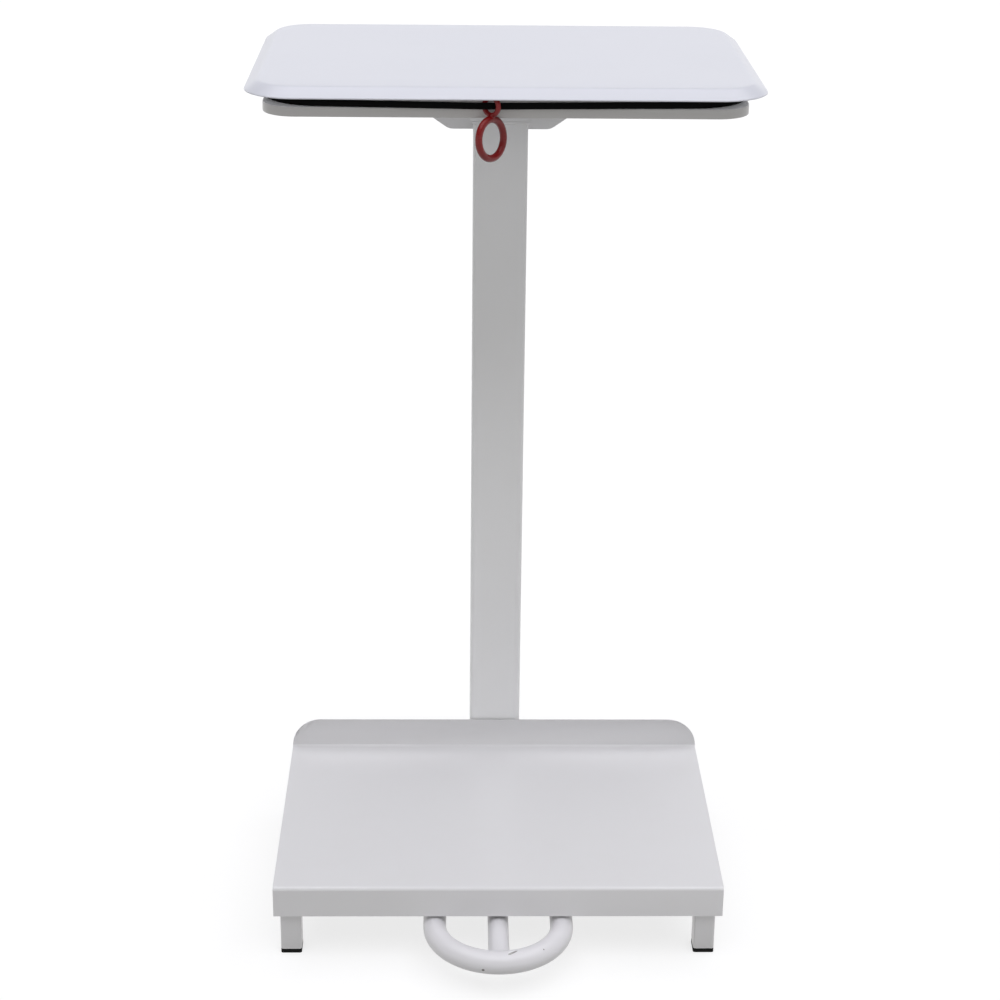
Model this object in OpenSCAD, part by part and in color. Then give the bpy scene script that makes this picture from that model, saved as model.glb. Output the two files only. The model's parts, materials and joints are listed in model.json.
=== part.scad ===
// Pedal-operated sack holder: a square pole on a four-legged base with a load tray,
// a hoop that holds a sack under an elastic band, and a hinged lid that a foot pedal lifts
// through a push rod inside the pole. Millimetres, +Z up, front towards -Y.

/* [Base frame] */
// Outer size of the square frame tube
frame_tube = 19; // [16:1:22]
// Wall of the square frame tube
frame_wall = 1.5; // [1:0.5:2.5]
// Overall width across the legs
frame_w = 398; // [360:2:420]
// Front of the legs, ahead of the pole's front face
leg_front = 261; // [250:1:262]
// Visible height of the plastic feet
foot_h = 4; // [3:0.5:6]

/* [Tray] */
// Width of the tray
tray_w = 409; // [380:1:440]
// Height of the tray's flat top
tray_top = 73; // [72:1:80]
// Front of the tray, ahead of the pole's front face
tray_front = 267; // [264:1:280]
// Depth of the front lip, folded down
tray_lip = 30; // [24:1:31]
// Height of the rear upstand
tray_upstand = 30; // [26:1:60]
// Radius of the upstand's two top corners
upstand_r = 29; // [10:1:29]
// Sheet thickness of the tray
tray_t = 1.2; // [0.8:0.1:2]

/* [Pole] */
// Outer size of the square pole
pole_size = 50; // [50:1:54]
// Wall of the pole
pole_wall = 2; // [1.5:0.5:3]
// Height of the pole's open bottom end
pole_bottom = 50; // [48:1:52]
// Height of the pole's top end
pole_top = 715; // [700:1:725]

/* [Pedal] */
// Diameter of the pedal's looped tube
pedal_tube = 21; // [16:1:22]
// Diameter of the tube down the middle of the pedal
bar_tube = 19; // [16:1:19]
// Radius of the pedal loop, at the middle of the tube
pedal_r = 58; // [50:1:62]
// Height of the pedal tube's middle
pedal_z = 30; // [30:0.5:31]
// Front of the pedal, ahead of the pole's front face
pedal_front = 331.5; // [325:0.5:345]
// Pedal axle, ahead of the pole's front face
pivot_front = 180; // [175:1:185]

/* [Sack hoop] */
// Width of the hoop
hoop_w = 393; // [370:1:396]
// Front of the hoop, ahead of the pole's front face
hoop_front = 234.3; // [225:0.1:236]
// Back of the hoop, behind the pole's front face
hoop_back = 20; // [10:0.5:22]
// Height of the hoop's bottom edge
hoop_z = 768.6; // [768:0.1:770]
// Height of the hoop's outer wall
hoop_wall_h = 8; // [7:0.5:9]
// Corner radius of the outer wall
hoop_r = 27; // [22:1:32]
// Corner radius of the inner rim that carries the band
rim_r = 46; // [36:1:50]

/* [Lid] */
// Width of the lid
lid_w = 422; // [400:1:440]
// Front of the lid, ahead of the pole's front face
lid_front = 249; // [247:1:255]
// Back of the lid, behind the pole's front face
lid_back = 50; // [49:0.5:50]
// Height of the lid's lower edge
lid_z = 785.6; // [785.6:0.1:788]
// Rise from the lower edge to the flat top
lid_rise = 8.4; // [8:0.1:12]
// Width of the sloping border
lid_bevel = 10.5; // [8:0.5:14]
// Corner radius of the lower edge
lid_r = 42; // [34:1:50]
// Sheet thickness of the lid
lid_t = 1.2; // [0.8:0.1:1.2]

/* [Pull ring] */
// Outer diameter of the finger ring
ring_d = 37; // [32:0.5:42]
// Section diameter of the finger ring
ring_wire = 6; // [5:0.5:7]
// Distance of the pull from the middle, to the left
pull_left = 12.5; // [0:0.5:20]

/* [Lid drive] */
// Push rod diameter
rod_d = 8; // [7:0.5:8]
// Hinge pin diameter
hinge_d = 8; // [6:0.5:8]
// Pedal axle diameter
axle_d = 10; // [8:0.5:10]

/* [Hidden] */
$fn = 64;

// Small gaps and clearances
eps = 0.01;
run_gap = 0.05;
seat_gap = 0.3;

// Extra reach of a cut past the face it opens
over = 1;

// Frame heights and places, measured from the pole's front face
rail_top = tray_top - tray_t;
rail_z = rail_top - frame_tube;
side_x = frame_w / 2 - frame_tube;
frame_r = 2;
leg_ys = [-leg_front, -frame_tube];
plug_l = 12;
plug_slack = 0.1;

// Clamp around the pole, and the bolts that hold both to the rear rail
clamp_t = 3;
clamp_back = pole_size + clamp_t;
bolt_d = 8;
bolt_x = 15;
bolt_hole = 8.4;
bolt_z = rail_z + frame_tube / 2;
bolt_head_h = 5.3;
bolt_head_d = 15;
bolt_end = 2;
washer_t = 1.6;
washer_d = 16;
nut_h = 6.5;

bolt_l = clamp_back + frame_tube + 2 * washer_t + nut_h + bolt_end;

// Pole and its cap
pole_r = 3.5;
cap_t = 3;
cap_over = 3;
cap_weld = 4;
guide_h = 20;
guide_lift = 6;
guide_slack = 0.1;
rod_y = 40;

// Pedal and lever
pedal_wall = 1.5;
loop_y = -(pedal_front - pedal_r - pedal_tube / 2);
sleeve_d = 22;
sleeve_bore = 14;
sleeve_half = 74;
bush_l = 20;
bush_flange = 1.5;
bush_flange_d = 18;
bracket_x = 76;
bracket_t = 3;
bracket_half = 12;
clip_t = 1.5;
clip_gap = 0.2;
axle_clip_d = 18;
axle_half = 84;
arm_w = 25;
arm_t = 6;
arm_top = 22;
arm_back = 48;
arm_front = 182;
stop_d = 14;

// Hoop, rim and band
hoop_t = 1.5;
rim_in = 1.6;
rim_top = 785;
ledge_z = hoop_z + hoop_wall_h - hoop_t;
hoop_d = hoop_front + hoop_back;
hoop_mid = (hoop_back - hoop_front) / 2;
rim_w = hoop_w - 2 * rim_in;
rim_d = hoop_d - 2 * rim_in;
band_t = 1;
band_h = 5.4;
band_z = hoop_z + hoop_wall_h + 0.4;

// Pull ring hanging on the band
eyelet_r = 7.1;
eyelet_wire = 4.2;
pull_y = -hoop_front - 7.6;
pull_z = band_z + band_h / 2;
pull_tilt = 7;
pull_joint = 2;
ring_r = (ring_d - ring_wire) / 2;
ring_drop = ring_d / 2 + eyelet_r + eyelet_wire / 2 - pull_joint;
ring_yaw = 50;

// Hinge, crank and rod head
hinge_y = 58;
hinge_z = 778;
knuckle_d = 14;
knuckle_half = 48;
ear_x = 50;
ear_t = 3;
ear_r = 8;
ear_low = 752;

// The whole object is centred front to back between the pedal and the hinge ears
back_reach = hinge_y + ear_r;
pole_y = (pedal_front - back_reach) / 2;

// Pins, clips and washers
pin_end = 4;
hinge_clip_d = 14;
hinge_washer_d = 13;
crank_r = 20.5;
crank_angle = 37.5;
crank_y = hinge_y - crank_r * cos(crank_angle);
crank_z = hinge_z - crank_r * sin(crank_angle);
crank_pin_d = 5;
cheek_x = 3.2;
cheek_t = 3;
cheek_w = 10;
head_t = 5;
slot_slack = 1;
slot_front = hinge_y - crank_r - crank_pin_d / 2 - slot_slack;
slot_back = crank_y + crank_pin_d / 2 + slot_slack;
slot_h = crank_pin_d + 2 * slot_slack;

// Push rod with its domed foot and its head
rod_seat = 6;
rod_top = 746;
foot_dome = 10;
foot_d = 14;
foot_neck = 5;
socket_d = 13;
socket_z = 736;
socket_h = 16;
blade_z = 748;
blade_rim = 3.5;
blade_top = crank_z + slot_h / 2 + 4;

// Lid and its strap
lid_d = lid_front + lid_back;
lid_mid = (lid_back - lid_front) / 2;
lid_top = lid_z + lid_rise;
lid_under = lid_top - lid_t;
lid_hem = 1;
strap_t = 2.5;
strap_w = 88;
strap_front = -42;
strap_bend = 33;
stud_d = 5;
stud_places = [for (x = [-34, 34]) for (y = [-30, 10]) [x, y]];
stud_end = 5;
stud_hole = 5.4;
nut_d = 9.2;
nut_t = 4;
bumper_x = 150;
bumper_d = 10;

// Head bracket behind the pole
bracket_z = 696;
plate_t = 3;
shelf_front = 6;
plate_half = 85;
plate_foot = 43;
plate_flare = 26;
plate_r = 14;
window_x = 14;
window_front = 28;
window_drop = 16;

// ---------- shared shapes ----------

// Points along an arc about c, from angle a to angle b
function arc(c, r, a, b, n = 8) =
    [for (i = [0:n]) [c.x + r * cos(a + (b - a) * i / n), c.y + r * sin(a + (b - a) * i / n)]];

// Moves children from the pole's front face to the object's centre
module at_pole(p = [0, 0, 0]) {
    translate([p.x, p.y + pole_y, p.z]) children();
}

// Rectangle with round corners, centred
module rounded(w, d, r) {
    square([w - 2 * r, d], center = true);
    square([w, d - 2 * r], center = true);
    for (x = [-1, 1]) {
        for (y = [-1, 1]) {
            translate([x * (w / 2 - r), y * (d / 2 - r)]) circle(r);
        }
    }
}

// Upright square tube standing on z = 0, with its front left corner at the origin
module square_tube(size, wall, length, r) {
    translate([size / 2, size / 2, 0]) linear_extrude(length) difference() {
        rounded(size, size, r);
        rounded(size - 2 * wall, size - 2 * wall, max(r - wall, 0.5));
    }
}

// Frame tube lying along X, centred, with its front bottom edge at y = z = 0
module cross_tube(length) {
    translate([-length / 2, 0, frame_tube]) rotate([0, 90, 0]) {
        square_tube(frame_tube, frame_wall, length, frame_r);
    }
}

// Cylinder along X, centred
module x_rod(d, length) {
    rotate([0, 90, 0]) cylinder(d = d, h = length, center = true);
}

// Outline in Y and Z, extruded along X and centred
module x_extrude(length) {
    rotate([90, 0, 90]) linear_extrude(length, center = true) children();
}

// Both mirror images of children across the middle
module both_sides() {
    children();
    mirror([1, 0, 0]) children();
}

// ---------- base frame ----------

module side_rail(side) {
    color("whitesmoke") at_pole([side < 0 ? -frame_w / 2 : side_x, -frame_tube, rail_z]) {
        rotate([90, 0, 0]) {
            square_tube(frame_tube, frame_wall, leg_front - 2 * frame_tube, frame_r);
        }
    }
}

module leg(side, row) {
    color("whitesmoke") at_pole([side < 0 ? -frame_w / 2 : side_x, leg_ys[row], foot_h]) {
        square_tube(frame_tube, frame_wall, rail_top - foot_h, frame_r);
    }
}

// Moulded foot with a stem that plugs into the leg
module foot(side, row) {
    inner = frame_tube - 2 * (frame_wall + plug_slack);
    color("black") at_pole([side * (frame_w - frame_tube) / 2, leg_ys[row] + frame_tube / 2, 0]) {
        linear_extrude(foot_h) rounded(frame_tube, frame_tube, frame_r);
        translate([0, 0, foot_h]) linear_extrude(plug_l) rounded(inner, inner, 1);
    }
}

module left_side_rail() side_rail(-1);
module right_side_rail() side_rail(1);
module front_left_leg() leg(-1, 0);
module front_right_leg() leg(1, 0);
module rear_left_leg() leg(-1, 1);
module rear_right_leg() leg(1, 1);
module front_left_foot() foot(-1, 0);
module front_right_foot() foot(1, 0);
module rear_left_foot() foot(-1, 1);
module rear_right_foot() foot(1, 1);

module front_cross_rail() {
    color("whitesmoke") at_pole([0, -leg_front, rail_z]) cross_tube(2 * side_x);
}

module pivot_cross_rail() {
    color("whitesmoke") at_pole([0, -pivot_front - frame_tube / 2, rail_z]) cross_tube(2 * side_x);
}

// Holes for the pole bolts, right through the rear rail, the pole and its clamp
module bolt_holes() {
    for (x = [-bolt_x, bolt_x]) {
        at_pole([x, clamp_back + over, bolt_z]) rotate([90, 0, 0]) {
            cylinder(d = bolt_hole, h = clamp_back + frame_tube + 2 * over);
        }
    }
}

module rear_cross_rail() {
    color("whitesmoke") difference() {
        at_pole([0, -frame_tube, rail_z]) cross_tube(2 * side_x);
        bolt_holes();
    }
}

// ---------- tray ----------

module tray() {
    fold = 3.5;
    heel = 2.5;
    face = -2;
    front = -tray_front;
    nose = [front + fold, tray_top - fold];
    root = [face - heel, tray_top + heel];
    color("whitesmoke") at_pole() difference() {
        x_extrude(tray_w) polygon(concat(
            [[front, tray_top - tray_lip]],
            arc(nose, fold, 180, 90),
            arc(root, heel, -90, 0),
            [[face, tray_top + tray_upstand], [face + tray_t, tray_top + tray_upstand]],
            arc(root, heel + tray_t, 0, -90),
            arc(nose, fold - tray_t, 90, 180),
            [[front + tray_t, tray_top - tray_lip]]
        ));
        both_sides() {
            translate([tray_w / 2 - upstand_r, over, tray_top + tray_upstand - upstand_r]) {
                rotate([90, 0, 0]) linear_extrude(2 * over - face) difference() {
                    square(upstand_r + over);
                    circle(upstand_r);
                }
            }
        }
    }
}

// ---------- pole and its fixings ----------

module pole() {
    color("whitesmoke") difference() {
        at_pole([-pole_size / 2, 0, pole_bottom]) {
            square_tube(pole_size, pole_wall, pole_top - pole_bottom, pole_r);
        }
        bolt_holes();
    }
}

// Strap bent round the pole, with its ends welded to the rear rail
module pole_clamp() {
    wide = pole_size + 2 * clamp_t;
    color("whitesmoke") difference() {
        at_pole([-wide / 2, 0, pole_bottom]) linear_extrude(rail_top - pole_bottom) difference() {
            union() {
                square([wide, clamp_back - pole_r - clamp_t]);
                translate([wide / 2, clamp_back / 2]) rounded(wide, clamp_back, pole_r + clamp_t);
            }
            translate([clamp_t, -over]) square([pole_size, pole_size - pole_r + over]);
            translate([wide / 2, pole_size / 2]) rounded(pole_size, pole_size, pole_r);
        }
        bolt_holes();
    }
}

module pole_bolts() {
    color("silver") both_sides() at_pole([bolt_x, clamp_back + washer_t, bolt_z]) {
        rotate([-90, 0, 0]) cylinder(d = bolt_head_d, h = bolt_head_h, $fn = 6);
        rotate([90, 0, 0]) cylinder(d = bolt_d, h = bolt_l);
    }
}

module bolt_ring(y, outer, length, sides) {
    at_pole([bolt_x, y, bolt_z]) rotate([-90, 0, 0]) difference() {
        cylinder(d = outer, h = length, $fn = sides);
        translate([0, 0, -over]) cylinder(d = bolt_d + 2 * run_gap, h = length + 2 * over);
    }
}

module pole_washers() {
    color("silver") both_sides() {
        bolt_ring(clamp_back, washer_d, washer_t, $fn);
        bolt_ring(-frame_tube - washer_t, washer_d, washer_t, $fn);
    }
}

module pole_nuts() {
    color("silver") both_sides() bolt_ring(-frame_tube - washer_t - nut_h, bolt_head_d, nut_h, 6);
}

module rod_guide(z) {
    inner = pole_size - 2 * (pole_wall + guide_slack);
    color("ivory") at_pole([0, pole_size / 2, z]) difference() {
        linear_extrude(guide_h) rounded(inner, inner, pole_r - pole_wall);
        translate([0, rod_y - pole_size / 2, -over]) {
            cylinder(d = rod_d + 2 * run_gap, h = guide_h + 2 * over);
        }
    }
}

module lower_rod_guide() rod_guide(rail_top + guide_lift);
module upper_rod_guide() rod_guide(pole_top - guide_h);

// Plate that closes the pole, with the weld fillet below its edge
module pole_cap() {
    depth = pole_size + cap_over;
    width = pole_size + 2 * cap_over;
    edge = 1;
    color("whitesmoke") at_pole() difference() {
        union() {
            translate([-width / 2, -cap_over, pole_top]) cube([width, depth, cap_t]);
            hull() {
                translate([edge - width / 2, edge - cap_over, pole_top - eps]) {
                    cube([width - 2 * edge, depth - edge, eps]);
                }
                translate([-pole_size / 2, 0, pole_top - cap_weld]) cube([pole_size, pole_size, eps]);
            }
        }
        translate([-pole_size / 2, 0, pole_top - cap_weld - over]) {
            cube([pole_size, pole_size, cap_weld + over]);
        }
        translate([0, rod_y, pole_top - over]) cylinder(d = 1.5 * rod_d, h = cap_t + 2 * over);
    }
}

// ---------- head bracket and hinge ----------

// Outline of the plate behind the pole: a shield with a narrow foot
function shield() =
    let (low = plate_flare / (plate_half - plate_foot), tilt = atan(low))
    concat(
        [[-plate_half, hoop_z], [-plate_half, bracket_z + plate_flare]],
        arc([-plate_foot, bracket_z + plate_r], plate_r, -90 - tilt, -90),
        arc([plate_foot, bracket_z + plate_r], plate_r, -90, -90 + tilt),
        [[plate_half, bracket_z + plate_flare], [plate_half, hoop_z]]
    );

module head_bracket() {
    color("gainsboro") at_pole() difference() {
        union() {
            translate([0, pole_size + plate_t, 0]) rotate([90, 0, 0]) {
                linear_extrude(plate_t) polygon(shield());
            }
            translate([-plate_half, shelf_front, hoop_z - plate_t]) {
                cube([2 * plate_half, pole_size + plate_t - shelf_front, plate_t]);
            }
        }
        translate([-window_x, window_front, hoop_z - window_drop]) {
            cube([2 * window_x, pole_size, window_drop + over]);
        }
    }
}

module hinge_ears() {
    y = pole_size + plate_t;
    color("gainsboro") both_sides() at_pole([ear_x + ear_t / 2, 0, 0]) difference() {
        union() {
            translate([0, hinge_y, hinge_z]) x_rod(2 * ear_r, ear_t);
            translate([-ear_t / 2, y, ear_low]) cube([ear_t, hinge_y + ear_r - y, hinge_z - ear_low]);
        }
        translate([0, hinge_y, hinge_z]) x_rod(hinge_d + 2 * run_gap, ear_t + 2 * over);
    }
}

module hinge_pin() {
    color("silver") at_pole([0, hinge_y, hinge_z]) x_rod(hinge_d, 2 * (ear_x + ear_t + pin_end));
}

// Flat ring about a cross axis, on both sides
module side_rings(y, z, x, outer, shaft) {
    both_sides() at_pole([x + clip_gap + clip_t / 2, y, z]) difference() {
        x_rod(outer, clip_t);
        x_rod(shaft + 2 * run_gap, clip_t + 2 * over);
    }
}

module hinge_clips() {
    color("silver") side_rings(hinge_y, hinge_z, ear_x + ear_t, hinge_clip_d, hinge_d);
}

module hinge_washers() {
    color("ivory") side_rings(hinge_y, hinge_z, knuckle_half, hinge_washer_d, hinge_d);
}

// ---------- sack hoop and band ----------

module sack_hoop() {
    color("whitesmoke") at_pole([0, hoop_mid, 0]) {
        translate([0, 0, hoop_z]) linear_extrude(hoop_wall_h) difference() {
            rounded(hoop_w, hoop_d, hoop_r);
            rounded(hoop_w - 2 * hoop_t, hoop_d - 2 * hoop_t, hoop_r - hoop_t);
        }
        translate([0, 0, ledge_z]) linear_extrude(hoop_t) difference() {
            rounded(hoop_w, hoop_d, hoop_r);
            rounded(rim_w - 2 * hoop_t, rim_d - 2 * hoop_t, rim_r - hoop_t);
        }
        translate([0, 0, ledge_z]) linear_extrude(rim_top - ledge_z) difference() {
            rounded(rim_w, rim_d, rim_r);
            rounded(rim_w - 2 * hoop_t, rim_d - 2 * hoop_t, rim_r - hoop_t);
        }
    }
}

// The band hugs the rim, and the pull's eyelet holds its front run forward
module band_outline(grow) {
    tangent = rim_w / 2 - rim_r;
    front = -rim_d / 2 - grow;
    apex = pull_y + band_t / 2 - hoop_mid - grow;
    rounded(rim_w + 2 * grow, rim_d + 2 * grow, rim_r + grow);
    polygon([[0, 0], [-tangent, front], [-pull_left, apex], [tangent, front]]);
}

module sack_band() {
    color("black") at_pole([0, hoop_mid, band_z]) linear_extrude(band_h) difference() {
        band_outline(band_t);
        band_outline(eps);
    }
}

// ---------- pedal and lever ----------

// Removes the pivot sleeve's own space from a part welded to it
module sleeve_space() {
    at_pole([0, -pivot_front, pedal_z]) x_rod(sleeve_d, 2 * (sleeve_half + over));
}

module loop_solid(d) {
    at_pole([0, loop_y, pedal_z]) {
        rotate([0, 0, 180]) rotate_extrude(angle = 180) translate([pedal_r, 0]) circle(d = d);
        for (x = [-pedal_r, pedal_r]) {
            translate([x, 0, 0]) rotate([-90, 0, 0]) cylinder(d = d, h = -loop_y - pivot_front);
        }
    }
}

module pedal_loop() {
    color("whitesmoke") difference() {
        loop_solid(pedal_tube);
        loop_solid(pedal_tube - 2 * pedal_wall);
        sleeve_space();
    }
}

module pedal_bar() {
    color("whitesmoke") difference() {
        at_pole([0, -pivot_front, pedal_z]) rotate([90, 0, 0]) difference() {
            cylinder(d = bar_tube, h = pedal_front - pivot_front - pedal_tube / 2);
            translate([0, 0, -over]) cylinder(d = bar_tube - 2 * pedal_wall, h = pedal_front);
        }
        loop_solid(pedal_tube);
        sleeve_space();
    }
}

module pivot_sleeve() {
    color("whitesmoke") at_pole([0, -pivot_front, pedal_z]) difference() {
        x_rod(sleeve_d, 2 * sleeve_half);
        x_rod(sleeve_bore, 2 * (sleeve_half + over));
    }
}

module pedal_bushes() {
    color("ivory") both_sides() at_pole([sleeve_half, -pivot_front, pedal_z]) difference() {
        union() {
            translate([-bush_l / 2, 0, 0]) x_rod(sleeve_bore - 2 * eps, bush_l);
            translate([bush_flange / 2, 0, 0]) x_rod(bush_flange_d, bush_flange);
        }
        x_rod(axle_d + 2 * run_gap, 2 * bush_l);
    }
}

module lever_arm() {
    color("gainsboro") difference() {
        at_pole([-arm_w / 2, -arm_front, arm_top - arm_t]) cube([arm_w, arm_front + arm_back, arm_t]);
        sleeve_space();
    }
}

module pivot_brackets() {
    corner = [-bracket_t / 2, -bracket_half, pedal_z];
    color("gainsboro") both_sides() at_pole([bracket_x + bracket_t / 2, -pivot_front, 0]) difference() {
        union() {
            translate([0, 0, pedal_z]) x_rod(2 * bracket_half, bracket_t);
            translate(corner) cube([bracket_t, 2 * bracket_half, rail_z - pedal_z]);
        }
        translate([0, 0, pedal_z]) x_rod(axle_d + 2 * run_gap, bracket_t + 2 * over);
    }
}

module pedal_axle() {
    color("silver") at_pole([0, -pivot_front, pedal_z]) x_rod(axle_d, 2 * axle_half);
}

module axle_clips() {
    color("silver") side_rings(-pivot_front, pedal_z, bracket_x + bracket_t, axle_clip_d, axle_d);
}

// Rubber buffer that the pedal bar rests against
module pedal_stop() {
    z = pedal_z + bar_tube / 2 + seat_gap;
    color("black") at_pole([0, -leg_front + frame_tube / 2, z]) cylinder(d = stop_d, h = rail_z - z);
}

// ---------- push rod ----------

module push_rod() {
    z = arm_top + rod_seat;
    color("silver") at_pole([0, rod_y, z]) cylinder(d = rod_d, h = rod_top - z);
}

// Domed foot that bears on the lever arm
module rod_foot() {
    z = arm_top + seat_gap;
    color("dimgray") at_pole([0, rod_y, z]) difference() {
        intersection() {
            union() {
                translate([0, 0, foot_dome]) sphere(foot_dome);
                translate([0, 0, foot_dome]) cylinder(d = foot_d, h = foot_neck);
            }
            cylinder(d = foot_d, h = foot_dome + foot_neck);
        }
        translate([0, 0, rod_seat - seat_gap]) cylinder(d = rod_d + 2 * eps, h = foot_dome + foot_neck);
    }
}

// Slotted head that the crank pin rides in
module rod_head() {
    color("silver") at_pole() difference() {
        union() {
            translate([0, rod_y, socket_z]) cylinder(d = socket_d, h = socket_h);
            translate([-head_t / 2, slot_front - blade_rim, blade_z]) {
                cube([head_t, slot_back - slot_front + 2 * blade_rim, blade_top - blade_z]);
            }
        }
        translate([0, rod_y, socket_z - over]) cylinder(d = rod_d + 2 * eps, h = rod_top - socket_z + over);
        for (y = [slot_front + slot_h / 2, slot_back - slot_h / 2]) {
            translate([0, y, crank_z]) x_rod(slot_h, head_t + 2 * over);
        }
        translate([-head_t, slot_front + slot_h / 2, crank_z - slot_h / 2]) {
            cube([2 * head_t, slot_back - slot_front - slot_h, slot_h]);
        }
    }
}

// ---------- lid ----------

// Solid dish: a hem, then a sloping border up to a flat top
module lid_solid(inset, z, top) {
    flat = lid_bevel + inset * 0.5;
    hull() {
        translate([0, 0, z]) linear_extrude(lid_hem) {
            rounded(lid_w - 2 * inset, lid_d - 2 * inset, lid_r - inset);
        }
        translate([0, 0, top - eps]) linear_extrude(eps) {
            rounded(lid_w - 2 * flat, lid_d - 2 * flat, lid_r - flat);
        }
    }
}

module lid_shell() {
    color("white") at_pole([0, lid_mid, 0]) difference() {
        lid_solid(0, lid_z, lid_top);
        lid_solid(lid_t, lid_z - eps, lid_under);
    }
}

// Strap from the lid's underside, below the rear border, to the hinge knuckle
module lid_strap() {
    low = lid_under - strap_t;
    r = knuckle_d / 2;
    color("gainsboro") at_pole() difference() {
        union() {
            x_extrude(strap_w) polygon([
                [strap_front, lid_under], [strap_bend + over, lid_under],
                [lid_back - lid_t, lid_z - seat_gap], [hinge_y, hinge_z + r],
                [hinge_y - r + over, hinge_z + over], [strap_bend, low], [strap_front, low]
            ]);
            translate([0, hinge_y, hinge_z]) x_rod(knuckle_d, 2 * knuckle_half);
        }
        translate([0, hinge_y, hinge_z]) x_rod(hinge_d + 2 * run_gap, 2 * (knuckle_half + over));
        for (p = stud_places) {
            translate([p.x, p.y, low - over]) cylinder(d = stud_hole, h = strap_t + 2 * over);
        }
    }
}

module strap_studs() {
    length = strap_t + stud_end;
    color("silver") for (p = stud_places) {
        at_pole([p.x, p.y, lid_under - length]) cylinder(d = stud_d, h = length);
    }
}

module strap_nuts() {
    color("silver") for (p = stud_places) {
        at_pole([p.x, p.y, lid_under - strap_t - nut_t]) difference() {
            cylinder(d = nut_d, h = nut_t, $fn = 6);
            translate([0, 0, -over]) cylinder(d = stud_d + 2 * run_gap, h = nut_t + 2 * over);
        }
    }
}

// Two cheeks welded to the knuckle, holding the crank pin
module lift_crank() {
    color("gainsboro") both_sides() at_pole([cheek_x + cheek_t / 2, hinge_y, hinge_z]) difference() {
        rotate([crank_angle, 0, 0]) {
            translate([0, -crank_r, 0]) x_rod(cheek_w, cheek_t);
            translate([-cheek_t / 2, -crank_r, -cheek_w / 2]) cube([cheek_t, crank_r, cheek_w]);
        }
        x_rod(knuckle_d, cheek_t + 2 * over);
        rotate([crank_angle, 0, 0]) translate([0, -crank_r, 0]) {
            x_rod(crank_pin_d + 2 * run_gap, cheek_t + 2 * over);
        }
    }
}

module crank_pin() {
    color("silver") at_pole([0, crank_y, crank_z]) x_rod(crank_pin_d, 2 * (cheek_x + cheek_t + over));
}

// Rubber buffers under the lid, above the hoop's rim
module lid_bumpers() {
    z = rim_top + seat_gap;
    ys = [-hoop_front + rim_in + hoop_t / 2, hoop_back - rim_in - hoop_t / 2];
    color("black") for (y = ys) both_sides() {
        at_pole([bumper_x, y, z]) cylinder(d = bumper_d, h = lid_under - z);
    }
}

// ---------- pull ring ----------

// One moulding: a finger ring with a smaller eyelet set across it, threaded on the band
module pull_ring() {
    color("firebrick") at_pole([-pull_left, pull_y, pull_z]) rotate([-pull_tilt, 0, 0]) {
        rotate([90, 0, ring_yaw - 90]) {
            rotate_extrude() translate([eyelet_r, 0]) circle(d = eyelet_wire);
        }
        translate([0, 0, -ring_drop]) rotate([90, 0, ring_yaw]) {
            rotate_extrude() translate([ring_r, 0]) circle(d = ring_wire);
        }
    }
}

left_side_rail();
right_side_rail();
front_left_leg();
front_right_leg();
rear_left_leg();
rear_right_leg();
front_left_foot();
front_right_foot();
rear_left_foot();
rear_right_foot();
front_cross_rail();
pivot_cross_rail();
rear_cross_rail();
tray();
pivot_brackets();
pedal_axle();
axle_clips();
pedal_stop();
pole();
pole_clamp();
pole_bolts();
pole_washers();
pole_nuts();
lower_rod_guide();
upper_rod_guide();
pole_cap();
head_bracket();
hinge_ears();
hinge_pin();
hinge_clips();
hinge_washers();
sack_hoop();
sack_band();
pedal_loop();
pedal_bar();
pivot_sleeve();
pedal_bushes();
lever_arm();
push_rod();
rod_foot();
rod_head();
lid_shell();
lid_strap();
strap_studs();
strap_nuts();
lift_crank();
crank_pin();
lid_bumpers();
pull_ring();
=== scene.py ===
"""Looks for the pedal sack holder: enamelled frame, lid, elastic band, red pull and pedal."""
import json
import math

import bmesh
import bpy
from mathutils import Matrix, Vector


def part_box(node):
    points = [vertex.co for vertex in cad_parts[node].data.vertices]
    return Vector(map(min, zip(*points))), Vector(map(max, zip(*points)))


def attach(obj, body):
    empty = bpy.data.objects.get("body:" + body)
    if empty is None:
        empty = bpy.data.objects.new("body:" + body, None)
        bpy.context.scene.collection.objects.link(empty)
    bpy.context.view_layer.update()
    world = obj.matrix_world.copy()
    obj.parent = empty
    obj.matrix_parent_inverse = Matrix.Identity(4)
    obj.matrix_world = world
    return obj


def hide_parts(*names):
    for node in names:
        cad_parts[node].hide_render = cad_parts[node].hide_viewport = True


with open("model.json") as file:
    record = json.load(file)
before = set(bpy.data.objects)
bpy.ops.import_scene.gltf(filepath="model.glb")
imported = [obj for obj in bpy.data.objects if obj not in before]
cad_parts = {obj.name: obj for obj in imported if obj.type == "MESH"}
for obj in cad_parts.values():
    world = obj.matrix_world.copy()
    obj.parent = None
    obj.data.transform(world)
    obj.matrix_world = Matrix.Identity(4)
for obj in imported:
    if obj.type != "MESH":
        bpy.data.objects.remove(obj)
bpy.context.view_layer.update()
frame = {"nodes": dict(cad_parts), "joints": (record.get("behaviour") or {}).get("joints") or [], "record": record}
NODES = frame["nodes"]
MM = 0.001
TAU = 2 * math.pi
MERGE_DISTANCE = 1e-6


# ---------- shader node helpers ----------

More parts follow.
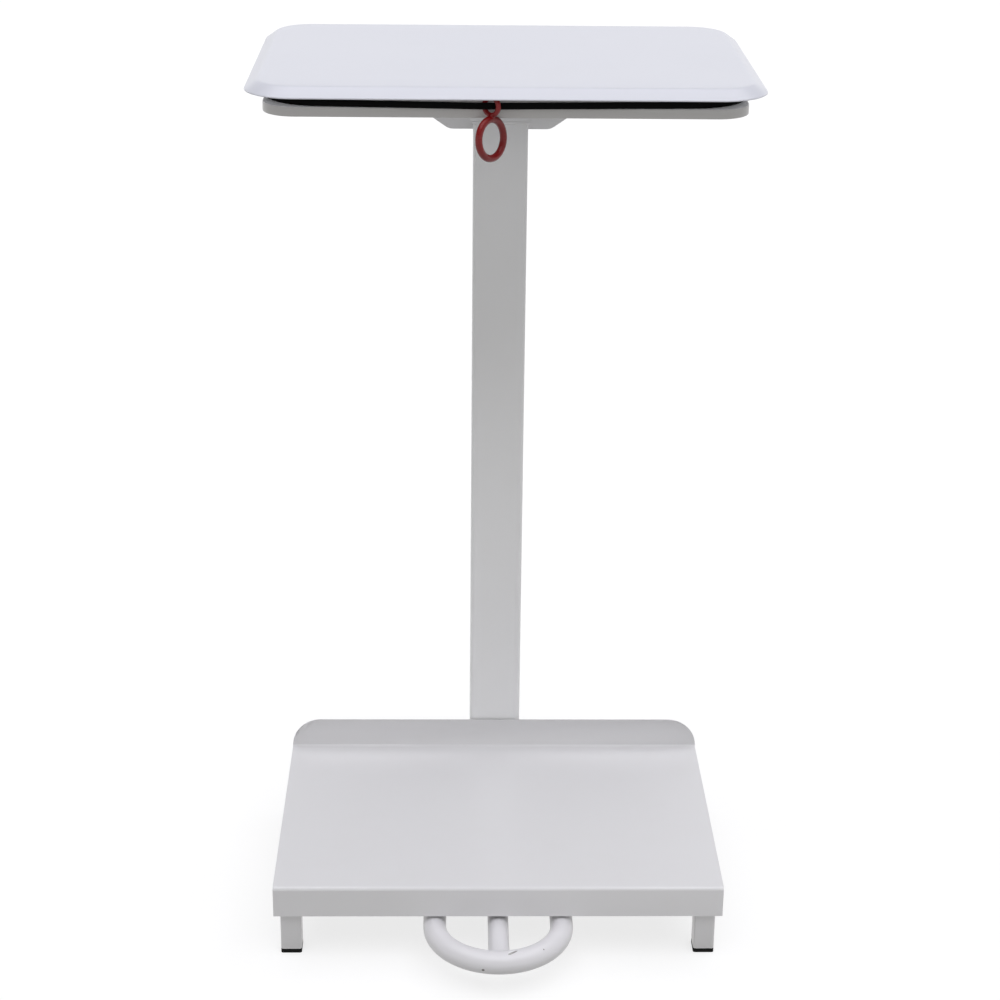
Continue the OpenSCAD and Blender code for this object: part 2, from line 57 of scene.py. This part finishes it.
class Nodes:
    """Adds and links the nodes of one shader tree."""

    def __init__(self, tree):
        self.tree = tree

    def add(self, kind, **values):
        node = self.tree.nodes.new(kind)
        for key, value in values.items():
            setattr(node, key, value)
        return node

    def link(self, a, b):
        self.tree.links.new(a, b)

    def noise(self, coords, scale, detail, rough=0.55, stretch=None):
        source = coords
        if stretch:
            mapping = self.add("ShaderNodeMapping")
            mapping.inputs["Scale"].default_value = stretch
            self.link(coords, mapping.inputs["Vector"])
            source = mapping.outputs["Vector"]
        node = self.add("ShaderNodeTexNoise")
        node.inputs["Scale"].default_value = scale
        node.inputs["Detail"].default_value = detail
        node.inputs["Roughness"].default_value = rough
        self.link(source, node.inputs["Vector"])
        return node.outputs["Fac"]

    def ramp(self, fac, stops):
        """A colour or a grey for each place along fac, blended between them."""
        node = self.add("ShaderNodeValToRGB")
        while len(node.color_ramp.elements) < len(stops):
            node.color_ramp.elements.new(0.5)
        for element, (at, colour) in zip(node.color_ramp.elements, stops):
            rgb = colour if isinstance(colour, tuple) else (colour, colour, colour)
            element.position = at
            element.color = (*rgb, 1.0)
        self.link(fac, node.inputs["Fac"])
        return node.outputs["Color"]

    def mix(self, fac, a, b):
        """Colour a where fac is 0 and b where it is 1. Each is a socket or a tuple."""
        node = self.add("ShaderNodeMix", data_type="RGBA")
        self.link(fac, node.inputs["Factor"])
        for name, value in (("A", a), ("B", b)):
            socket = [s for s in node.inputs if s.name == name and s.type == "RGBA"][0]
            if isinstance(value, tuple):
                socket.default_value = (*value, 1.0)
            else:
                self.link(value, socket)
        return [s for s in node.outputs if s.type == "RGBA"][0]

    def maths(self, operation, a, b, clamp=False):
        node = self.add("ShaderNodeMath", operation=operation, use_clamp=clamp)
        for i, value in enumerate((a, b)):
            if isinstance(value, (int, float)):
                node.inputs[i].default_value = value
            else:
                self.link(value, node.inputs[i])
        return node.outputs[0]

    def span(self, value, low, high, to_low, to_high):
        """value mapped from low..high to to_low..to_high, and held at those ends."""
        node = self.add("ShaderNodeMapRange")
        self.link(value, node.inputs["Value"])
        limits = {"From Min": low, "From Max": high, "To Min": to_low, "To Max": to_high}
        for name, number in limits.items():
            node.inputs[name].default_value = number
        return node.outputs["Result"]

    def bump(self, height, strength, distance, normal=None):
        node = self.add("ShaderNodeBump")
        node.inputs["Strength"].default_value = strength
        node.inputs["Distance"].default_value = distance
        self.link(height, node.inputs["Height"])
        if normal is not None:
            self.link(normal, node.inputs["Normal"])
        return node.outputs["Normal"]

    def spot(self, coords, centre, size, turn):
        """1 inside a ragged oval mark at centre, 0 outside it."""
        mapping = self.add("ShaderNodeMapping", vector_type="TEXTURE")
        mapping.inputs["Location"].default_value = centre
        mapping.inputs["Rotation"].default_value = (0, 0, turn)
        mapping.inputs["Scale"].default_value = size
        self.link(coords, mapping.inputs["Vector"])
        length = self.add("ShaderNodeVectorMath", operation="LENGTH")
        self.link(mapping.outputs["Vector"], length.inputs[0])
        ragged = self.span(self.noise(coords, 900, 3, 0.6), 0, 1, -0.45, 0.45)
        reach = self.maths("ADD", length.outputs["Value"], ragged)
        return self.span(reach, 0.85, 1.05, 1, 0)


def material(name):
    """A new material with its node helper, its shader and its object coordinates."""
    mat = bpy.data.materials.new(name)
    mat.use_nodes = True
    mat.node_tree.nodes.clear()
    n = Nodes(mat.node_tree)
    shader = n.add("ShaderNodeBsdfPrincipled")
    out = n.add("ShaderNodeOutputMaterial")
    n.link(shader.outputs["BSDF"], out.inputs["Surface"])
    coords = n.add("ShaderNodeTexCoord").outputs["Object"]
    return mat, n, shader, coords


def shade(colour, gain, lift=0.0):
    """colour times gain plus lift, at most 1."""
    return tuple(min(1, gain * c + lift) for c in colour)


def edge_mask(n, radius, amount):
    """Near 1 along edges, where a rounded normal leaves the true one."""
    bevel = n.add("ShaderNodeBevel", samples=12)
    bevel.inputs["Radius"].default_value = radius
    dot = n.add("ShaderNodeVectorMath", operation="DOT_PRODUCT")
    n.link(bevel.outputs["Normal"], dot.inputs[0])
    n.link(n.add("ShaderNodeNewGeometry").outputs["Normal"], dot.inputs[1])
    turned = n.span(dot.outputs["Value"], 0.97, 0.97 - amount, 0, 1)
    return n.span(turned, 0.35, 0.6, 0, 1)


# ---------- materials ----------

def enamel(name, colour, worn, wear, rough=0.3, marks=()):
    """Gloss enamel over steel: faint orange peel, a thin film of dust, chips along its edges.

    Each mark is a centre, a half size, a turn about Z and a colour.
    """
    mat, n, shader, coords = material(name)
    broad = n.noise(coords, 5, 3, 0.5)
    tone = n.ramp(broad, ((0.3, shade(colour, 0.985)), (0.7, colour)))
    film = n.noise(coords, 30, 4, 0.6)
    dusty = tuple(c * k for c, k in zip(colour, (0.965, 0.96, 0.95)))
    tone = n.mix(n.span(film, 0.5, 0.8, 0, 0.3), tone, dusty)
    edges = edge_mask(n, 0.7 * MM, 0.14)
    chip_low = 0.74 - 0.12 * wear
    chips = n.span(n.noise(coords, 260, 5, 0.7), chip_low, chip_low + 0.03, 0, 0.8)
    chipped = n.maths("MULTIPLY", edges, chips, clamp=True)
    tone = n.mix(chipped, tone, worn)
    for centre, size, turn, mark_colour in marks:
        tone = n.mix(n.spot(coords, centre, size, turn), tone, mark_colour)
    n.link(tone, shader.inputs["Base Color"])
    n.link(n.span(broad, 0.3, 0.7, rough, rough + 0.06), shader.inputs["Roughness"])
    peel = n.bump(n.noise(coords, 420, 2, 0.5), 0.06, 0.3 * MM)
    n.link(n.bump(n.maths("SUBTRACT", 1.0, chipped), 0.5, 0.1 * MM, peel), shader.inputs["Normal"])
    shader.inputs["Coat Weight"].default_value = 0.2
    shader.inputs["Coat Roughness"].default_value = 0.15
    shader.inputs["IOR"].default_value = 1.5
    return mat


def plated(name, colour, rough, grain):
    """Zinc-plated or drawn steel with dull patches and fine lines, stretched by grain."""
    mat, n, shader, coords = material(name)
    patches = n.noise(coords, 90, 5, 0.65)
    tone = n.ramp(patches, ((0.3, shade(colour, 0.72)), (0.65, colour)))
    n.link(tone, shader.inputs["Base Color"])
    lines = n.noise(coords, 500, 3, 0.5, stretch=grain)
    n.link(n.span(lines, 0.3, 0.7, rough - 0.07, rough + 0.12), shader.inputs["Roughness"])
    n.link(n.bump(lines, 0.25, 0.05 * MM), shader.inputs["Normal"])
    shader.inputs["Metallic"].default_value = 1.0
    return mat


def moulded(name, colour, rough, texture, scale, worn, specular=0.5):
    """Moulded plastic or rubber: fine surface texture, scuffs, and slight bloom."""
    mat, n, shader, coords = material(name)
    bloom = n.noise(coords, 55, 5, 0.6)
    tone = n.ramp(bloom, ((0.3, shade(colour, 0.85)), (0.7, shade(colour, 1.12))))
    scuff = n.noise(coords, 240, 6, 0.7, stretch=(1, 1, 4))
    tone = n.mix(n.span(scuff, 0.62, 0.8, 0, 0.5), tone, shade(colour, worn, 0.002))
    n.link(tone, shader.inputs["Base Color"])
    n.link(n.span(scuff, 0.35, 0.75, rough - 0.05, rough + 0.14), shader.inputs["Roughness"])
    n.link(n.bump(n.noise(coords, scale, 3, 0.6), texture, 0.1 * MM), shader.inputs["Normal"])
    shader.inputs["Specular IOR Level"].default_value = specular
    return mat


pedal_low, pedal_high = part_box("pedal_loop")
PEDAL_TUBE = pedal_high.z - pedal_low.z
PRIMER = (0.16, 0.15, 0.14)


def mm(x, y, z):
    """A vector given in millimetres."""
    return Vector((x * MM, y * MM, z * MM))


# On the pedal's toe: a painted highlight, a white glint along a scrape, with two grey scrapes beside it, and two
# small chips.
toe = Vector((0, pedal_low.y, (pedal_low.z + pedal_high.z) / 2))
PEDAL_MARKS = (
    # Painted highlight: the scrape's glint, in white.
    (toe + mm(11.0, 12.2, 9.5), mm(4.2, 0.6, 4.0), 0.55, (0.93, 0.93, 0.94)),
    (toe + mm(12.5, 10.7, 9.5), mm(5.0, 1.0, 4.0), 0.60, (0.33, 0.32, 0.31)),
    (toe + mm(9.8, 9.0, 9.5), mm(2.2, 1.1, 4.0), 0.50, (0.42, 0.41, 0.40)),
    (toe + mm(-14.5, 1.5, -2.0), mm(1.4, 1.3, 1.3), 0.0, PRIMER),
    (toe + mm(40.0, 18.0, 9.2), mm(0.9, 0.9, 1.2), 0.0, (0.20, 0.18, 0.17)),
)

LOOKS = {
    "white_enamel": enamel("white_enamel", (0.76, 0.755, 0.765), PRIMER, 0.3),
    # A lighter copy of the white enamel: painted light on the pole against the lid's shade, and a painted
    # highlight on the hoop's ledge.
    "painted_light_enamel": enamel("painted_light_enamel", (0.85, 0.85, 0.855), PRIMER, 0.3),
    # The lid's enamel carries a painted cool tint: the blue of the top light put into its colour.
    "lid_enamel": enamel("lid_enamel", (0.67, 0.68, 0.74), PRIMER, 0.0, rough=0.34),
    # A darker copy of the white enamel: painted shade for the hoop under the lid's overhang.
    "painted_shade_enamel": enamel("painted_shade_enamel", (0.57, 0.56, 0.55), PRIMER, 0.4),
    "pedal_enamel": enamel("pedal_enamel", (0.77, 0.76, 0.78), PRIMER, 0.2, rough=0.34,
                           marks=PEDAL_MARKS),
    "black_plastic": moulded("black_plastic", (0.004, 0.0045, 0.004), 0.6, 0.35, 900, 1.4, 0.12),
    "buffer_rubber": moulded("buffer_rubber", (0.022, 0.022, 0.022), 0.72, 0.5, 700, 1.6),
    "band_rubber": moulded("band_rubber", (0.002, 0.002, 0.002), 0.8, 0.4, 1400, 1.0, 0.06),
    "red_plastic": moulded("red_plastic", (0.20, 0.0014, 0.0018), 0.3, 0.10, 500, 1.0, 0.35),
    "zinc_plate": plated("zinc_plate", (0.60, 0.61, 0.63), 0.34, (1, 1, 1)),
    "rod_steel": plated("rod_steel", (0.52, 0.53, 0.55), 0.3, (4, 4, 0.4)),
    "nylon": moulded("nylon", (0.72, 0.69, 0.60), 0.45, 0.25, 500, 0.9),
}


# ---------- mesh helpers ----------

def piece(name, verts, faces, body, slot, *replaced, sharp):
    """A new mesh piece in the row frame, smooth except at edges sharper than sharp degrees."""
    mesh = bpy.data.meshes.new(name)
    mesh.from_pydata([tuple(v) for v in verts], [], faces)
    bm = bmesh.new()
    bm.from_mesh(mesh)
    bmesh.ops.remove_doubles(bm, verts=bm.verts, dist=MERGE_DISTANCE)
    bmesh.ops.recalc_face_normals(bm, faces=bm.faces)
    for face in bm.faces:
        face.smooth = True
    for edge in bm.edges:
        edge.smooth = not (edge.is_manifold and edge.calc_face_angle() > math.radians(sharp))
    bm.to_mesh(mesh)
    bm.free()
    obj = bpy.data.objects.new(name, mesh)
    bpy.context.scene.collection.objects.link(obj)
    mesh.materials.append(LOOKS[slot])
    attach(obj, body)
    if replaced:
        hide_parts(*replaced)
    return obj


def loft(loops, closed=False, caps=False):
    """Faces between closed loops of equal length. closed joins the last loop to the first."""
    verts = [p for loop in loops for p in loop]
    count, n = len(loops), len(loops[0])
    faces = []
    for i in range(count if closed else count - 1):
        a, b = i * n, ((i + 1) % count) * n
        for j in range(n):
            k = (j + 1) % n
            faces.append((a + j, a + k, b + k, b + j))
    if caps:
        faces.append(tuple(range(n)))
        faces.append(tuple((count - 1) * n + j for j in range(n)))
    return verts, faces


def outline(w, d, r, arc=14, straight=8):
    """Rounded rectangle about the origin, anticlockwise from the front edge's left end.

    arc and straight are the steps in each corner and along each side.
    """
    points = []
    corners = ((1, -1, -90), (1, 1, 0), (-1, 1, 90), (-1, -1, 180))
    start = Vector((-(w / 2 - r), -d / 2))
    for sx, sy, angle in corners:
        centre = Vector((sx * (w / 2 - r), sy * (d / 2 - r)))
        a = math.radians(angle)
        first = centre + r * Vector((math.cos(a), math.sin(a)))
        points += [start.lerp(first, i / straight) for i in range(straight)]
        for i in range(arc + 1):
            a = math.radians(angle + 90 * i / arc)
            start = centre + r * Vector((math.cos(a), math.sin(a)))
            if i < arc:
                points.append(start)
    return points


def level(points, centre, z):
    """A flat outline placed about centre at height z."""
    return [Vector((centre.x + p.x, centre.y + p.y, z)) for p in points]


def fillet(path, radii, steps=6):
    """A 2-D path with its inner corners rounded to the radii given."""
    out = [Vector(path[0])]
    for i in range(1, len(path) - 1):
        a, b, c = (Vector(path[i - 1]), Vector(path[i]), Vector(path[i + 1]))
        u, v = (a - b).normalized(), (c - b).normalized()
        half = math.acos(max(-1, min(1, u.dot(v)))) / 2
        r = radii[i - 1]
        reach = r / math.tan(half)
        centre = b + (u + v).normalized() * (r / math.sin(half))
        start, end = b + u * reach - centre, b + v * reach - centre
        turn = start.angle_signed(end)
        for k in range(steps + 1):
            out.append(centre + Matrix.Rotation(-turn * k / steps, 2) @ start)
    out.append(Vector(path[-1]))
    return out


def tube_loops(path, radius, sides=40):
    """Circles of that radius along a path of points that stays level."""
    loops = []
    last = len(path) - 1
    for i, p in enumerate(path):
        along = (path[min(i + 1, last)] - path[max(i - 1, 0)]).normalized()
        side = along.cross(Vector((0, 0, 1))).normalized()
        top = side.cross(along).normalized()
        loops.append([p + radius * (math.cos(a) * side + math.sin(a) * top)
                      for a in (TAU * k / sides for k in range(sides))])
    return loops


# ---------- lid ----------

LID_SHEET = 1.2 * MM
LID_CORNER = 42 * MM
LID_BORDER = 10.5 * MM    # width of the sloping border
LID_PANEL = 34 * MM       # how far in from the edge one flat face closes the top


def make_lid():
    low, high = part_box("lid_shell")
    mid = (low + high) / 2
    w, d = high.x - low.x, high.y - low.y
    z, top, t = low.z, high.z, LID_SHEET
    outer = fillet([(0, z + 0.25 * MM), (0, z + 1 * MM), (LID_BORDER, top), (LID_PANEL, top)],
                   [1.0 * MM, 7 * MM])
    inner = fillet([(t, z + 0.25 * MM), (t, z + 0.9 * MM), (LID_BORDER + 0.6 * MM, top - t),
                    (LID_PANEL, top - t)], [0.5 * MM, 5 * MM])
    hem = [Vector((0.35 * MM, z)), Vector((t - 0.35 * MM, z))]
    loops = [level(outline(w - 2 * inset, d - 2 * inset, LID_CORNER - inset), mid, height)
             for inset, height in outer[::-1] + hem + inner]
    verts, faces = loft(loops, caps=True)
    # The lid's enamel has a painted cool tint that stands for the blue top light.
    piece("lid_panel", verts, faces, "lid", "lid_enamel", "lid_shell", sharp=50)


# ---------- hoop and band ----------

PULL_PIVOT = Vector([j for j in frame["joints"] if j["name"] == "pull_swing"][0]["pos_m"])
HOOP_SHEET = 1.5 * MM
HOOP_CORNER = 27 * MM
HOOP_WALL = 8 * MM        # height of the outer wall, up to the ledge
RIM_IN = 1.6 * MM         # how far inside the wall the rim stands
RIM_R = 46 * MM
BAND_T = 1.0 * MM
BAND_STEPS = 40           # points along each straight run of the band
BAND_BLUNT = 0.012        # share of the forward pull that the band's tip loses
BAND_BLUNT_WIDTH = 4 * MM


def make_hoop():
    low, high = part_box("sack_hoop")
    mid = (low + high) / 2
    w, d = high.x - low.x, high.y - low.y
    t = HOOP_SHEET
    ledge_top = low.z + HOOP_WALL
    ledge = ledge_top - t

    def wall(inset, z):
        return level(outline(w - 2 * inset, d - 2 * inset, HOOP_CORNER - inset), mid, z)

    def rim(inset, z):
        inward = RIM_IN + inset
        return level(outline(w - 2 * inward, d - 2 * inward, RIM_R - inset), mid, z)

    e = 0.35 * MM
    outside = [(0, low.z + e), (0, low.z + 2 * e), (0, ledge_top - 2.4 * e),
               (0.12 * MM, ledge_top - 1.2 * e), (0.4 * MM, ledge_top - 0.4 * e),
               (0.8 * MM, ledge_top)]
    upright = [(-0.5 * MM, ledge_top), (-0.15 * MM, ledge_top + 0.15 * MM),
               (0, ledge_top + 0.5 * MM),
               (0, high.z - e), (0.35 * e, high.z - 0.3 * e), (e, high.z),
               (t - e, high.z), (t - 0.3 * e, high.z - 0.3 * e), (t, high.z - e),
               (t, ledge + e), (t - e, ledge)]
    inside = [(t + 0.6 * MM, ledge), (t + 0.2 * MM, ledge - 0.2 * MM), (t, ledge - 0.6 * MM),
              (t, low.z + e), (t - e, low.z), (e, low.z)]
    loops = ([wall(*at) for at in outside] + [rim(*at) for at in upright]
             + [wall(*at) for at in inside])
    verts, faces = loft(loops, closed=True)
    hoop = piece("hoop_frame", verts, faces, "stand", "white_enamel", "sack_hoop", sharp=60)
    # The white enamel is painted in two tones of light: a darker copy on the hoop, painted shade for the lid's
    # overhang, and a lighter copy on the ledge's top, a painted highlight.
    hoop.data.materials[0] = LOOKS["painted_shade_enamel"]
    hoop.data.materials.append(LOOKS["painted_light_enamel"])
    for poly in hoop.data.polygons:
        if poly.normal.z > 0.7 and abs(poly.center.z - ledge_top) < 1 * MM:
            poly.material_index = 1


def make_band():
    low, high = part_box("sack_band")
    hoop_low, hoop_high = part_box("sack_hoop")
    mid = (hoop_low + hoop_high) / 2
    w = hoop_high.x - hoop_low.x - 2 * RIM_IN
    d = hoop_high.y - hoop_low.y - 2 * RIM_IN
    tip_x = PULL_PIVOT.x
    run = w / 2 - RIM_R
    t, e = BAND_T, 0.3 * MM
    push = (low.y + t) - (mid.y - d / 2)

    def line(grow):
        """The band's outline, with its front run drawn forward to a blunt tip at the pull."""
        points = outline(w + 2 * grow, d + 2 * grow, RIM_R + grow, straight=BAND_STEPS)
        front = -d / 2 - grow
        for p in points[:BAND_STEPS + 1]:
            if abs(p.y - front) < 1e-7:
                side = run + (tip_x if p.x < tip_x else -tip_x)
                blunt = BAND_BLUNT * math.exp(-((p.x - tip_x) / BAND_BLUNT_WIDTH) ** 2)
                p.y += push * max(0, 1 - abs(p.x - tip_x) / side - blunt)
        return points

    section = [(0.02 * MM, low.z + e), (0.02 * MM, high.z - e), (e, high.z), (t - e, high.z),
               (t, high.z - e), (t, low.z + (high.z - low.z) / 2), (t, low.z + e),
               (t - e, low.z), (e, low.z)]
    verts, faces = loft([level(line(grow), mid, z) for grow, z in section], closed=True)
    piece("elastic_band", verts, faces, "stand", "band_rubber", "sack_band", sharp=50)


# ---------- pull ----------

EYE_R, EYE_TUBE = 7.1 * MM, 2.1 * MM
RING_R, RING_TUBE = 15.5 * MM, 3 * MM
RING_DROP = 25.7 * MM     # from the eyelet's centre to the ring's
PULL_LEAN = math.radians(-7)
PULL_YAW = math.radians(50)


def torus(major, minor, matrix, segments=96, sides=28):
    """A ring about the Y axis, placed by matrix."""
    axis = Vector((0, 1, 0))
    loops = []
    for i in range(segments):
        a = TAU * i / segments
        centre = Vector((major * math.cos(a), 0, major * math.sin(a)))
        out = centre.normalized()
        loops.append([matrix @ (centre + minor * (math.cos(b) * out + math.sin(b) * axis))
                      for b in (TAU * k / sides for k in range(sides))])
    return loft(loops, closed=True)


def make_pull():
    hang = Matrix.Translation(PULL_PIVOT) @ Matrix.Rotation(PULL_LEAN, 4, "X")
    eye_place = hang @ Matrix.Rotation(PULL_YAW - math.pi / 2, 4, "Z")
    ring_place = hang @ Matrix.Translation((0, 0, -RING_DROP)) @ Matrix.Rotation(PULL_YAW, 4, "Z")
    eye_verts, eye_faces = torus(EYE_R, EYE_TUBE, eye_place, 64, 24)
    ring_verts, ring_faces = torus(RING_R, RING_TUBE, ring_place)
    shift = len(eye_verts)
    faces = eye_faces + [tuple(i + shift for i in f) for f in ring_faces]
    obj = piece("finger_pull", eye_verts + ring_verts, faces, "pull", "red_plastic", "pull_ring",
                sharp=80)
    # A remesh joins the eyelet and the ring into one moulding with a soft corner between them.
    melt = obj.modifiers.new("melt", "REMESH")
    melt.mode = "VOXEL"
    melt.voxel_size = 0.4 * MM
    melt.use_smooth_shade = True
    soften = obj.modifiers.new("soften", "SMOOTH")
    soften.factor = 0.5
    soften.iterations = 6


# ---------- pedal ----------

LEG_STEPS, BEND_STEPS, BAR_STEPS = 6, 64, 10
WELD_SINK = 0.04 * MM     # how far a weld's edges sit inside the metal
WELD_ROOT = 0.8 * MM


def make_pedal():
    low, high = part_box("pedal_loop")
    sleeve_low, sleeve_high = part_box("pivot_sleeve")
    r = PEDAL_TUBE / 2
    major = (high.x - low.x) / 2 - r
    centre = Vector((0, low.y + r + major, (low.z + high.z) / 2))
    back = (sleeve_low.y + sleeve_high.y) / 2
    leg = centre.y - back
    path = [Vector((-major, back + leg * i / LEG_STEPS, centre.z)) for i in range(LEG_STEPS)]
    path += [centre + major * Vector((math.cos(a), math.sin(a), 0))
             for a in (math.pi + math.pi * i / BEND_STEPS for i in range(BEND_STEPS + 1))]
    path += [Vector((major, centre.y - leg * (i + 1) / LEG_STEPS, centre.z))
             for i in range(LEG_STEPS)]
    verts, faces = loft(tube_loops(path, r), caps=True)
    piece("pedal_tube", verts, faces, "pedal", "pedal_enamel", "pedal_loop", sharp=60)

    bar_low, bar_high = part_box("pedal_bar")
    bar_r = (bar_high.x - bar_low.x) / 2
    front = centre.y - major
    bar = [Vector((0, back + (front - back) * i / BAR_STEPS, centre.z))
           for i in range(BAR_STEPS + 1)]
    verts, faces = loft(tube_loops(bar, bar_r), caps=True)
    piece("pedal_middle", verts, faces, "pedal", "pedal_enamel", "pedal_bar", sharp=60)

    hub = (sleeve_high.y - sleeve_low.y) / 2

    def on_loop(x, z):
        """Y of the bent tube's inner side at the toe."""
        reach = major - math.sqrt(max(r * r - z * z, 0))
        return centre.y - math.sqrt(reach * reach - x * x)

    def on_sleeve(x, z):
        """Y of the pivot sleeve's front, which is the same for every x."""
        return back - math.sqrt(max(hub * hub - z * z, 0))

    welds = (("weld_toe", 0.0, bar_r, r, on_loop, 1, 4.0),
             ("weld_left", -major, r, hub, on_sleeve, -1, 2.5),
             ("weld_middle", 0.0, bar_r, hub, on_sleeve, -1, 2.5),
             ("weld_right", major, r, hub, on_sleeve, -1, 2.5))
    for name, x, tube, limit, face_y, away, size in welds:
        origin = Vector((x, 0, centre.z))
        weld_fillet(name, origin, tube, limit - 0.03 * MM, face_y, away, size * MM)


def weld_fillet(name, origin, tube, limit, face_y, away, leg):
    """Concave weld run around a tube where it meets the surface y = face_y(x, z).

    limit is the surface's half height, away the side of it that the tube is on (1 is +Y).
    """
    count, steps = 96, 6
    loops = [[] for _ in range(steps + 2)]

    def at(side, height, radius, sink=0.0):
        x, z = radius * side, min(radius, limit) * height
        return origin + Vector((x, face_y(x, z) - away * sink, z))

    for k in range(count):
        a = TAU * k / count
        size = leg * (1 + 0.05 * math.sin(7 * a) + 0.03 * math.sin(17 * a))
        side, height = math.cos(a), math.sin(a)
        corner = at(side, height, tube)
        on_tube = corner + Vector((-WELD_SINK * side, away * size, -WELD_SINK * height))
        on_face = at(side, height, tube + size, WELD_SINK)
        for i in range(steps + 1):
            t = i / steps
            loops[i].append((1 - t) ** 2 * on_tube + 2 * t * (1 - t) * corner + t * t * on_face)
        loops[-1].append(at(side, height, tube - WELD_ROOT, WELD_ROOT))
    verts, faces = loft(loops, closed=True)
    piece(name, verts, faces, "pedal", "pedal_enamel", sharp=80)


make_lid()
make_hoop()
make_band()
make_pull()
make_pedal()


# ---------- carried-over CAD nodes ----------

SLOT_OF = {s["node"]: s["material_slot"] for s in frame["record"]["subparts"]}
EDGE_MM = {"tray": 0.35, "pole": 0.4, "head_bracket": 0.5, "lid_strap": 0.4, "pole_cap": 0.6}
OTHER_EDGE_MM = 0.3
for name, obj in NODES.items():
    obj.data.materials.clear()
    # The pole takes the lighter enamel copy, painted light against the lid's shade.
    obj.data.materials.append(LOOKS["painted_light_enamel" if name == "pole" else SLOT_OF[name]])
    if obj.hide_render:
        continue
    weld = obj.modifiers.new("weld", "WELD")
    weld.merge_threshold = MERGE_DISTANCE
    bevel = obj.modifiers.new("edges", "BEVEL")
    bevel.width = EDGE_MM.get(name, OTHER_EDGE_MM) * MM
    bevel.segments = 2
    bevel.limit_method = "ANGLE"
    bevel.angle_limit = math.radians(40)
    bevel.harden_normals = True
    bevel.use_clamp_overlap = True
    for poly in obj.data.polygons:
        poly.use_smooth = True


# ---------- floor ----------

FLOOR_HALF = 40.0
WHITE = (1.0, 1.0, 1.0, 1.0)
floor_mesh = bpy.data.meshes.new("floor")
corners = [(x * FLOOR_HALF, y * FLOOR_HALF, 0) for x, y in ((-1, -1), (1, -1), (1, 1), (-1, 1))]
floor_mesh.from_pydata(corners, [], [(0, 1, 2, 3)])
floor = bpy.data.objects.new("floor", floor_mesh)
bpy.context.scene.collection.objects.link(floor)
mat, n, shader, coords = material("floor_paper")
n.link(n.ramp(n.noise(coords, 1.5, 3), ((0.3, 0.27), (0.7, 0.285))), shader.inputs["Base Color"])
shader.inputs["Roughness"].default_value = 0.9
shader.inputs["Specular IOR Level"].default_value = 0.1
# The glow keeps the shadow pale. It shows in reflections but adds no diffuse light.
shader.inputs["Emission Color"].default_value = WHITE
shader.inputs["Emission Strength"].default_value = 0.74
floor_mesh.materials.append(mat)
floor.visible_diffuse = False


# ---------- light ----------

LOW_GLOW = (0.18, 0.178, 0.172)
SIDE_GLOW = (0.70, 0.70, 0.70)
HIGH_GLOW = (0.28, 0.28, 0.284)
TOP_GLOW = (0.07, 0.07, 0.072)
world = bpy.data.worlds.new("studio")
bpy.context.scene.world = world
world.use_nodes = True
n = Nodes(world.node_tree)
world.node_tree.nodes.clear()
split = n.add("ShaderNodeSeparateXYZ")
n.link(n.add("ShaderNodeTexCoord").outputs["Generated"], split.inputs[0])
# 0 is straight down, 0.5 the horizon and 1 straight up.
height = n.span(split.outputs["Z"], -1, 1, 0, 1)
studio = n.ramp(height, ((0.0, LOW_GLOW), (0.485, LOW_GLOW), (0.505, SIDE_GLOW), (0.64, SIDE_GLOW),
                         (0.70, HIGH_GLOW), (0.80, TOP_GLOW), (1.0, TOP_GLOW)))
sky = n.add("ShaderNodeBackground")
sky.inputs["Strength"].default_value = 1.5
n.link(studio, sky.inputs["Color"])
# The camera itself sees plain white in place of the studio.
backdrop = n.add("ShaderNodeBackground")
backdrop.inputs["Color"].default_value = WHITE
blend = n.add("ShaderNodeMixShader")
n.link(n.add("ShaderNodeLightPath").outputs["Is Camera Ray"], blend.inputs[0])
n.link(sky.outputs[0], blend.inputs[1])
n.link(backdrop.outputs[0], blend.inputs[2])
n.link(blend.outputs[0], n.add("ShaderNodeOutputWorld").inputs["Surface"])

sun = bpy.data.lights.new("top_light", "SUN")
sun.energy = 2.6
sun.color = (0.965, 0.965, 1.0)
sun.angle = math.radians(80)
top_light = bpy.data.objects.new("top_light", sun)
top_light.rotation_euler = (math.radians(3), math.radians(4), 0)
bpy.context.scene.collection.objects.link(top_light)


# ---------- camera ----------

CAMERA_X, CAMERA_Z = -0.0390, 1.1447
CAMERA_BACK = 1.9479      # in front of the pole's front face
CAMERA_YAW, CAMERA_PITCH, CAMERA_ROLL = -1.2355, 22.3662, 0.6417    # degrees
pole_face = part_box("pole")[0].y
camera_data = bpy.data.cameras.new("camera")
camera_data.lens = 78.045
camera_data.sensor_width = 36.0
camera = bpy.data.objects.new("camera", camera_data)
aim = Matrix.Identity(4)
for degrees, axis in ((CAMERA_YAW, "Z"), (90 - CAMERA_PITCH, "X"), (CAMERA_ROLL, "Z")):
    aim = aim @ Matrix.Rotation(math.radians(degrees), 4, axis)
camera.location = (CAMERA_X, pole_face - CAMERA_BACK, CAMERA_Z)
camera.rotation_euler = aim.to_euler()
bpy.context.scene.collection.objects.link(camera)
bpy.context.scene.camera = camera
bpy.context.scene.view_settings.view_transform = "Standard"
